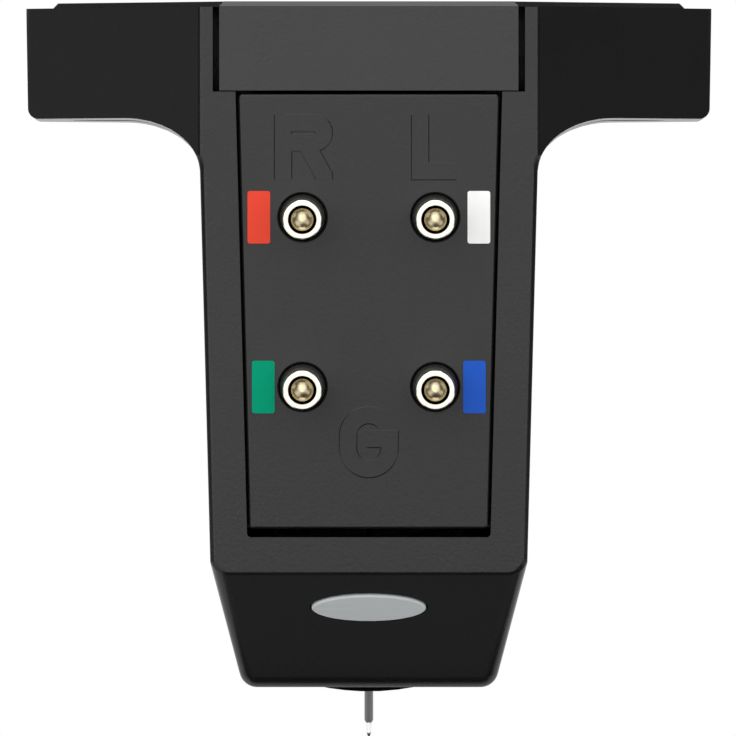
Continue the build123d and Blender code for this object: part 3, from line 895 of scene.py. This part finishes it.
@dataclass(frozen=True)
class PlatedPin(TurnedMetal):
    """Plated turned pin with a gold core, and painted shade round its foot and at the bottom of its bore."""

    tones: Span = (0.94, 1.04)
    bore_radius: float = 0.4 * MM
    bore_level: float = 1.65 * MM
    core_radius: float = 0.32 * MM
    core_colour: Colour = (0.66, 0.57, 0.38)
    core_roughness: float = 0.33
    collar_radius: float = 0.508 * MM
    # Painted shade: a dark brown on the collar round the foot, and a near black at the bottom of the bore.
    collar_shade_colour: Colour = (0.045, 0.036, 0.02)
    bore_shade_colour: Colour = (0.004, 0.004, 0.003)
    specular: float = 0.2
    any_level: float = 1.0

    def varied(self, kit: ShaderKit, graph: Graph, pattern: Sockets) -> Sockets:
        """Add the gold core to the plating, with painted shade on the collar round the foot and at the bottom of
        the bore.

        Args:
            kit: the shared shader groups.
            graph: the material's tree.
            pattern: the place about the axis and lathe rings on it.

        Returns:
            The colour, the roughness and how metallic it is.
        """
        plating = super().varied(kit, graph, pattern)
        # Painted shade: outside the tube the collar turns dark brown, and below its level the bore turns near
        # black, neither metallic nor glossy.
        zones = {"bore": (self.bore_radius, self.bore_level), "core": (self.core_radius, self.any_level),
                 "tube": (self.collar_radius, self.any_level)}
        masks = {name: kit.bore.use(graph, Vector=pattern["Place"], Radius=radius, Level=level)["Mask"]
                 for name, (radius, level) in zones.items()}
        tube = graph.blend(masks["core"], plating["Base Color"], self.core_colour)
        outside = graph.blend(masks["tube"], self.collar_shade_colour, tube)
        core_rough = graph.math("MULTIPLY", masks["core"], self.core_roughness)
        rough = graph.math("MAXIMUM", plating["Roughness"], core_rough)
        return {"Base Color": graph.blend(masks["bore"], outside, self.bore_shade_colour),
                "Roughness": graph.math("MAXIMUM", rough, masks["bore"]),
                "Metallic": graph.math("SUBTRACT", 1.0, masks["bore"])}

    def plain(self) -> dict[str, float]:
        """Return the gloss."""
        return {"Specular IOR Level": self.specular}


@dataclass
class OutputPins:
    """The four plated pins."""

    plating: Colour = (0.94, 0.92, 0.84)
    roughness: float = 0.18
    # Depth below the pin's end from which the bore is painted dark as shade.
    bore_shade_depth: float = 0.39 * MM

    def dress(self, kit: ShaderKit) -> None:
        """Dress each pin with turning marks about its own axis.

        Args:
            kit: the shared shader groups.
        """
        for mount in frame["record"]["mounts"]:
            if mount["kind"] != "pin":
                continue
            axis = unit(mount["axis"])
            lean = math.atan2(axis[1], axis[2])
            end = mount["pos_m"][1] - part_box(mount["name"])[0][1]
            finish = PlatedPin(f"{mount['name']}_plating", self.plating, self.roughness,
                               origin=tuple(mount["pos_m"]), turn=(-lean, 0.0, 0.0),
                               bore_level=end - self.bore_shade_depth)
            dress([mount["name"]], finish.material(kit))


class TagColour(Enum):
    """Colours of the channel tags."""

    RED = (0.8, 0.07, 0.039)
    WHITE = (0.95, 0.95, 0.95)
    GREEN = (0.001, 0.314, 0.171)
    BLUE = (0.022, 0.104, 0.54)


@dataclass
class ColourTags:
    """The printed tags beside the pins."""

    roughness: float = 0.55

    def dress(self, kit: ShaderKit) -> None:
        """Dress each tag in its colour.

        Args:
            kit: the shared shader groups.
        """
        for tag in TagColour:
            name = f"tag_{tag.name.lower()}"
            dress([name], PrintedColour(f"{name}_ink", tag.value, self.roughness).material(kit))


@dataclass
class ChinBadge:
    """The bare oval badge on the chin."""

    silver: StreakedMetal = StreakedMetal("badge_satin", (0.55, 0.58, 0.59), 0.5,
                                          turn=(0.0, 0.0, math.pi / 2), metallic=0.15)

    def dress(self, kit: ShaderKit) -> None:
        """Dress the badge."""
        dress(["badge"], self.silver.material(kit))


class Side(Enum):
    """The two ears."""

    LEFT = "left"
    RIGHT = "right"


@dataclass
class ThreadedInserts:
    """Brass inserts with a real inner thread."""

    brass: Colour = (0.72, 0.5, 0.2)
    roughness: float = 0.3
    pitch: float = 0.45 * MM
    thread_depth: float = 0.14 * MM
    flank_gain: float = 1.3
    flank_cut: float = 0.15
    mouth: float = 0.12 * MM
    segments: int = 64
    rows_per_turn: int = 10

    def grid(self, middle: np.ndarray, radius: float, bore: float, length: float) -> np.ndarray:
        """Points of one insert: a closed wall section turned about Z, with a helix on its inner side.

        The inner radius is bore + depth * w(z - pitch * angle / turn), where w is a triangle wave with
        flattened tips, faded out over the mouth at both ends.

        Args:
            middle: place of the top end's centre.
            radius: outer radius.
            bore: inner radius at the thread's crests.
            length: length along Z.

        Returns:
            A grid of wall rows by segments columns, closed both ways.
        """
        rows = int(self.rows_per_turn * length / self.pitch)
        down = -np.linspace(0.0, length, rows)
        bevel = self.mouth / 2
        lip = bevel / 4
        outer = np.array([(radius - bevel, -length), (radius, -length + bevel), (radius, -lip),
                          (radius - lip, 0.0)])
        angles = np.linspace(0.0, 2 * math.pi, self.segments, endpoint=False)
        phase = (down[:, None] / self.pitch - angles[None, :] / (2 * math.pi)) % 1.0
        wave = np.clip(self.flank_gain * np.abs(2 * phase - 1) - self.flank_cut, 0.0, 1.0)
        ends = np.minimum(-down, length + down)
        fade = np.clip((ends - self.mouth) / self.mouth, 0.0, 1.0)[:, None]
        chamfer = np.clip(1 - ends / self.mouth, 0.0, 1.0)[:, None] * self.thread_depth
        inner = bore + np.maximum(self.thread_depth * wave * fade, chamfer)
        radii = np.vstack([np.broadcast_to(outer[:, :1], (len(outer), self.segments)), inner])
        heights = np.concatenate([outer[:, 1], down])[:, None] + np.zeros((1, self.segments))
        return middle + np.stack([radii * np.cos(angles), radii * np.sin(angles), heights], axis=-1)

    def build(self, kit: ShaderKit) -> None:
        """Build both inserts in place of the plain ones.

        Args:
            kit: the shared shader groups.
        """
        screws = next(m for m in frame["record"]["mounts"] if m["kind"] == "bolt_pattern")
        bore = screws["dims"]["hole_r_mm"] * MM
        for side in Side:
            node = f"threaded_insert_{side.value}"
            size, middle = box_size(node), box_middle(node)
            top = middle + np.array([0.0, 0.0, size[2] / 2])
            grid = self.grid(top, size[0] / 2, bore, size[2])
            piece = solid_from_grid(f"{node}_thread", grid, closed_rows=True)
            finish = TurnedMetal(f"{node}_brass", self.brass, self.roughness, origin=tuple(top))
            fit(piece, finish.material(kit), "body")
            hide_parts(node)


@dataclass
class Generator:
    """Poles, yokes, coils, leads and the shield inside the body."""

    wire: float = 0.09 * MM
    groove: float = 0.035 * MM
    segments: int = 56
    points_per_turn: int = 5
    winding: EnamelledWire = EnamelledWire("coil_winding", (0.62, 0.26, 0.1), 0.3)
    lead: EnamelledWire = EnamelledWire("lead_wire", (0.66, 0.3, 0.13), 0.35)
    # The pole, yoke and shield colours are darker than bare iron: painted shade for the cavity they sit in, seen
    # through the gaps at the rear.
    iron: StreakedMetal = StreakedMetal("pole_iron_with_painted_shade", (0.3, 0.295, 0.28), 0.4)
    shield: StreakedMetal = StreakedMetal("shield_iron_with_painted_shade", (0.1, 0.1, 0.098), 0.5, width=0.03 * MM)
    nylon: MouldedPlastic = MouldedPlastic("frame_nylon", (0.03, 0.03, 0.028), 0.5, grain=0.05 * MM)

    @property
    def axis(self) -> np.ndarray:
        """Direction of the stylus axis, from the slide joint."""
        slide = next(joint for joint in frame["joints"] if joint["type"] == "slide")
        return unit(slide["axis"])

    def coil_grid(self, node: str) -> np.ndarray:
        """Points of one wound coil: a closed wall section turned about the axis, grooved by a helix.

        The outer radius is r - groove * (1 - |sin(pi * (s / wire - angle / turn))|^(1/2)) on the
        winding's length s, so each turn stands as a round wire beside the next.

        Args:
            node: the coil's frame node.

        Returns:
            A grid of wall rows by segments columns, closed both ways.
        """
        size, lean = box_size(node), abs(self.axis[2])
        outer = size[0] / 2
        length = (size[1] - size[0] * lean) / abs(self.axis[1])
        inner = outer / 2 + self.wire
        turns = int(length / self.wire)
        along = np.linspace(-length / 2, length / 2, turns * self.points_per_turn)
        angles = np.linspace(0.0, 2 * math.pi, self.segments, endpoint=False)
        phase = math.pi * (along[:, None] / self.wire - angles[None, :] / (2 * math.pi))
        wound = outer - self.groove * (1 - np.sqrt(np.abs(np.sin(phase))))
        radii = np.vstack([wound, np.full((2, self.segments), inner)])
        heights = np.concatenate([along, along[[-1, 0]]])
        up = np.cross(self.axis, SIDE)
        ring = np.cos(angles)[:, None] * SIDE + np.sin(angles)[:, None] * up
        LOG.info("%s has %d turns", node, turns)
        return box_middle(node) + heights[:, None, None] * self.axis + radii[..., None] * ring

    def build(self, kit: ShaderKit) -> None:
        """Wind the coils and dress the rest.

        Args:
            kit: the shared shader groups.
        """
        winding = self.winding.material(kit)
        coils = sorted(name for name in frame["nodes"] if name.startswith("coil_"))
        for node in coils:
            piece = solid_from_grid(f"{node}_winding", self.coil_grid(node), closed_rows=True)
            fit(piece, winding, "body")
            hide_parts(node)
        finishes = {"pole": self.iron, "yoke": self.iron, "bobbin": self.nylon, "lead": self.lead,
                    "shield": self.shield}
        for first_word, finish in finishes.items():
            names = [name for name in sorted(frame["nodes"])
                     if name.split("_")[0] == first_word and name != "pole_holder"]
            dress(names, finish.material(kit))
        dress(["pole_holder"], bpy.data.materials[self.nylon.name])


@dataclass
class Stylus:
    """The pull-off stylus: tube, suspension, cantilever and diamond."""

    lean: float = math.radians(24.0)
    brass: Colour = (0.7, 0.52, 0.24)
    alloy: Colour = (0.23, 0.23, 0.235)
    steel: Colour = (0.55, 0.55, 0.55)
    rubber: Colour = (0.02, 0.02, 0.02)
    diamond: Colour = (0.98, 0.99, 1.0)

    def dress(self, kit: ShaderKit) -> None:
        """Dress each piece, with drawn marks along the stylus axis.

        Args:
            kit: the shared shader groups.
        """
        along = (-self.lean, 0.0, 0.0)
        finishes = {
            ("stylus_tube", "wire_anchor"): StreakedMetal("tube_brass", self.brass, 0.3, turn=along),
            ("cantilever",): StreakedMetal("cantilever_alloy", self.alloy, 0.38, turn=along),
            ("cantilever_sleeve",): StreakedMetal("sleeve_alloy", self.alloy, 0.3, turn=along),
            ("tie_wire",): StreakedMetal("tie_steel", self.steel, 0.3, turn=along),
            ("magnet",): StreakedMetal("magnet_ground", self.steel, 0.45, turn=along, width=0.02 * MM,
                                       stretch=6.0),
            ("damper_ring",): MouldedPlastic("damper_rubber", self.rubber, 0.75, grain=0.03 * MM,
                                             specular=0.3),
            ("diamond_tip",): PolishedGem("diamond_gem", self.diamond, 0.02),
        }
        for names, finish in finishes.items():
            dress(names, finish.material(kit))


# Studio

@dataclass(frozen=True)
class SoftLamp:
    """A square soft lamp aimed at the object.

    Its azimuth is in degrees from the camera's side towards +X, its elevation in degrees above the
    object, and its level the brightness of a white face turned to it.
    """

    name: str
    azimuth: float
    elevation: float
    distance: float
    size: float
    level: float

    def build(self, target: Place) -> None:
        """Hang the lamp, with a power of level * pi^2 * distance^2.

        Args:
            target: the place that it points at.
        """
        turn, rise = math.radians(self.azimuth), math.radians(self.elevation)
        way = np.array([math.sin(turn) * math.cos(rise), -math.cos(turn) * math.cos(rise), math.sin(rise)])
        data = bpy.data.lights.new(self.name, "AREA")
        data.size = self.size
        data.energy = self.level * math.pi ** 2 * self.distance ** 2
        lamp = bpy.data.objects.new(self.name, data)
        lamp.location = np.array(target) + way * self.distance
        lamp.rotation_euler = (math.pi / 2 - rise, 0.0, turn)
        lamp.visible_camera = False
        bpy.context.scene.collection.objects.link(lamp)


@dataclass
class Studio:
    """Camera at the photograph's view, soft lamps, pale floor, white surround and cards to reflect."""

    photo_side: float = 736.0
    pixels_per_metre: float = 39.157 / MM
    middle_column: float = 368.85
    mount_row: float = 1.23
    camera_distance: float = 0.88
    sensor: float = 36.0
    ambient: float = 0.58
    floor_colour: Colour = (0.82, 0.82, 0.81)
    floor_gap: float = 1.7 * MM
    floor_radius: float = 0.5
    floor_points: int = 120
    floor_fade: Span = (0.02, 0.045)
    target: Place = (0.0, -0.006, -0.009)
    lamps: tuple[SoftLamp, ...] = (
        SoftLamp("key", azimuth=-32.0, elevation=15.0, distance=0.3, size=0.32, level=0.5),
        SoftLamp("fill", azimuth=32.0, elevation=15.0, distance=0.3, size=0.32, level=0.32),
        SoftLamp("top", azimuth=0.0, elevation=82.0, distance=0.15, size=0.1, level=0.22),
    )
    card_offset: float = 0.05
    card_drop: float = 0.9
    card_top: float = 0.02
    hood_top: float = 0.12
    hood_level: float = 0.08
    card_reach: Span = (-0.02, 0.09)
    left_level: float = 0.27
    right_level: float = 0.13
    gap_reach: float = -0.1
    below_sides: Span = (-0.0065, 0.014)
    below_reach: Span = (-0.0115, -0.0069)
    below_level: float = 0.19
    behind_reach: float = -0.045
    foot_reach: float = -0.0048

    def camera(self) -> None:
        """Place a long-lens camera square to the rear face, framed as the photograph is."""
        middle = self.photo_side / 2
        across = (middle - self.middle_column) / self.pixels_per_metre
        height = (self.mount_row - middle) / self.pixels_per_metre
        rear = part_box("body_shell")[0][1]
        data = bpy.data.cameras.new("photo_camera")
        data.sensor_width = self.sensor
        data.lens = self.sensor * self.camera_distance * self.pixels_per_metre / self.photo_side
        data.clip_start = self.camera_distance / 100
        camera = bpy.data.objects.new("photo_camera", data)
        camera.location = (across, rear - self.camera_distance, height)
        camera.rotation_euler = (math.pi / 2, 0.0, 0.0)
        bpy.context.scene.collection.objects.link(camera)
        bpy.context.scene.camera = camera

    def sight(self, graph: Graph) -> tuple[Socket, Socket]:
        """Tell the rays that show the background from those that only light the object.

        Args:
            graph: the tree of the world or of a stage material.

        Returns:
            A mask of camera rays, and one of camera, glossy and transmission rays together.
        """
        path = graph.add("ShaderNodeLightPath").outputs
        seen = graph.math("MAXIMUM", path["Is Camera Ray"], path["Is Glossy Ray"])
        return path["Is Camera Ray"], graph.math("MAXIMUM", seen, path["Is Transmission Ray"])

    def surround(self) -> None:
        """White world to camera, glossy and transmission rays, and a soft ambient level to the rest."""
        world = bpy.data.worlds.new("surround")
        bpy.context.scene.world = world
        world.use_nodes = True
        world.cycles.sampling_method = "NONE"
        graph = Graph(world.node_tree)
        _, seen = self.sight(graph)
        ambient = graph.add("ShaderNodeBackground", {"Color": WHITE, "Strength": self.ambient})
        white = graph.add("ShaderNodeBackground", {"Color": WHITE, "Strength": 1.0})
        mix = graph.add("ShaderNodeMixShader", {0: seen, 1: ambient.outputs[0], 2: white.outputs[0]})
        graph.add("ShaderNodeOutputWorld", {"Surface": mix.outputs[0]})

    def sheet(self, name: str, corners: np.ndarray) -> tuple[bpy.types.Object, Graph]:
        """Add a flat stage sheet with an empty material.

        Args:
            name: name of the sheet.
            corners: its corner points in order.

        Returns:
            The sheet and its material's graph.
        """
        mesh = bpy.data.meshes.new(name)
        mesh.from_pydata(corners.tolist(), [], [list(range(len(corners)))])
        material = bpy.data.materials.new(f"{name}_paint")
        material.use_nodes = True
        mesh.materials.append(material)
        sheet = bpy.data.objects.new(name, mesh)
        bpy.context.scene.collection.objects.link(sheet)
        sheet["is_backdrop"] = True
        return sheet, Graph(material.node_tree)

    def floor(self, lowest: float) -> None:
        """Lay a round pale floor just below the stylus tip.

        It fades to white away from the object, and is clear to a camera below it.

        Args:
            lowest: height of the object's lowest point.
        """
        last = 360.0 - 360.0 / self.floor_points
        ring = arc((0.0, 0.0), self.floor_radius, 0.0, last, self.floor_points)
        level = np.full((len(ring), 1), lowest - self.floor_gap)
        _, graph = self.sheet("floor", np.hstack([ring, level]))
        camera, seen = self.sight(graph)
        place = graph.add("ShaderNodeTexCoord").outputs["Object"]
        out = graph.add("ShaderNodeVectorMath", {0: place}, operation="LENGTH").outputs["Value"]
        near, far = self.floor_fade
        fade = graph.add("ShaderNodeMapRange", {"Value": out, "From Min": near, "From Max": far},
                         interpolation_type="SMOOTHSTEP").outputs["Result"]
        whitened = graph.math("MULTIPLY", fade, seen)
        paint = graph.add("ShaderNodeBsdfDiffuse", {"Color": (*self.floor_colour, 1.0)})
        white = graph.add("ShaderNodeEmission", {"Strength": 1.0})
        faded = graph.add("ShaderNodeMixShader", {0: whitened, 1: paint.outputs[0], 2: white.outputs[0]})
        below = graph.math("MULTIPLY", graph.add("ShaderNodeNewGeometry").outputs["Backfacing"], camera)
        clear = graph.add("ShaderNodeBsdfTransparent")
        shown = graph.add("ShaderNodeMixShader", {0: below, 1: faded.outputs[0], 2: clear.outputs[0]})
        graph.add("ShaderNodeOutputMaterial", {"Surface": shown.outputs[0]})

    def cards(self, lowest: float) -> None:
        """Set grey cards beside and below, with dark gaps at their edges: they show in reflections alone.

        Args:
            lowest: height of the object's lowest point.
        """
        foot = lowest - self.floor_gap * self.card_drop
        left, right = self.below_sides

        def upright(across: float, rear: float, front: float, low: float, high: float) -> np.ndarray:
            """Corners of a card that stands beside the object."""
            return np.array([(across, rear, low), (across, front, low), (across, front, high),
                             (across, rear, high)])

        def lying(rear: float, front: float) -> np.ndarray:
            """Corners of a card that lies below the object."""
            return np.array([(left, rear, foot), (right, rear, foot), (right, front, foot),
                             (left, front, foot)])

        side, (rear, front), (chin_rear, chin_front) = self.card_offset, self.card_reach, self.below_reach
        cards = {
            "card_left": (upright(-side, rear, front, foot, self.card_top), self.left_level),
            "card_right": (upright(side, rear, front, foot, self.card_top), self.right_level),
            "hood_left": (upright(-side, rear, front, self.card_top, self.hood_top), self.hood_level),
            "hood_right": (upright(side, rear, front, self.card_top, self.hood_top), self.hood_level),
            "gap_left": (upright(-side, self.gap_reach, rear, foot, self.hood_top), 0.0),
            "gap_right": (upright(side, self.gap_reach, rear, foot, self.hood_top), 0.0),
            "card_below": (lying(chin_rear, chin_front), self.below_level),
            "gap_behind": (lying(self.behind_reach, chin_rear), 0.0),
            "gap_foot": (lying(chin_front, self.foot_reach), 0.0),
        }
        for name, (corners, level) in cards.items():
            card, graph = self.sheet(name, corners)
            looks = {"Base Color": BLACK, "Specular IOR Level": 0.0, "Emission Color": WHITE,
                     "Emission Strength": level}
            paint = graph.add("ShaderNodeBsdfPrincipled", looks)
            graph.add("ShaderNodeOutputMaterial", {"Surface": paint.outputs["BSDF"]})
            card.visible_camera = False
            card.visible_diffuse = False
            card.visible_shadow = False
            card.visible_transmission = False

    def build(self, lowest: float) -> None:
        """Set up the whole studio.

        Args:
            lowest: height of the object's lowest point.
        """
        self.camera()
        self.surround()
        self.floor(lowest)
        self.cards(lowest)
        for lamp in self.lamps:
            lamp.build(self.target)
        bpy.context.scene.view_settings.view_transform = "Standard"


def main() -> None:
    """Build and dress every sub-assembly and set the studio."""
    logging.basicConfig(level=logging.INFO, format="%(name)s: %(message)s")
    cad_low, cad_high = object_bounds()
    kit = ShaderKit()
    plane = PlatePlane.from_record()
    plate = Casing().dress(kit)
    PlateMarks(plane).build(plate)
    OutputPins().dress(kit)
    ColourTags().dress(kit)
    ChinBadge().dress(kit)
    ThreadedInserts().build(kit)
    Generator().build(kit)
    Stylus().dress(kit)
    Studio().build(cad_low[2])


if __name__ == "__main__":
    main()
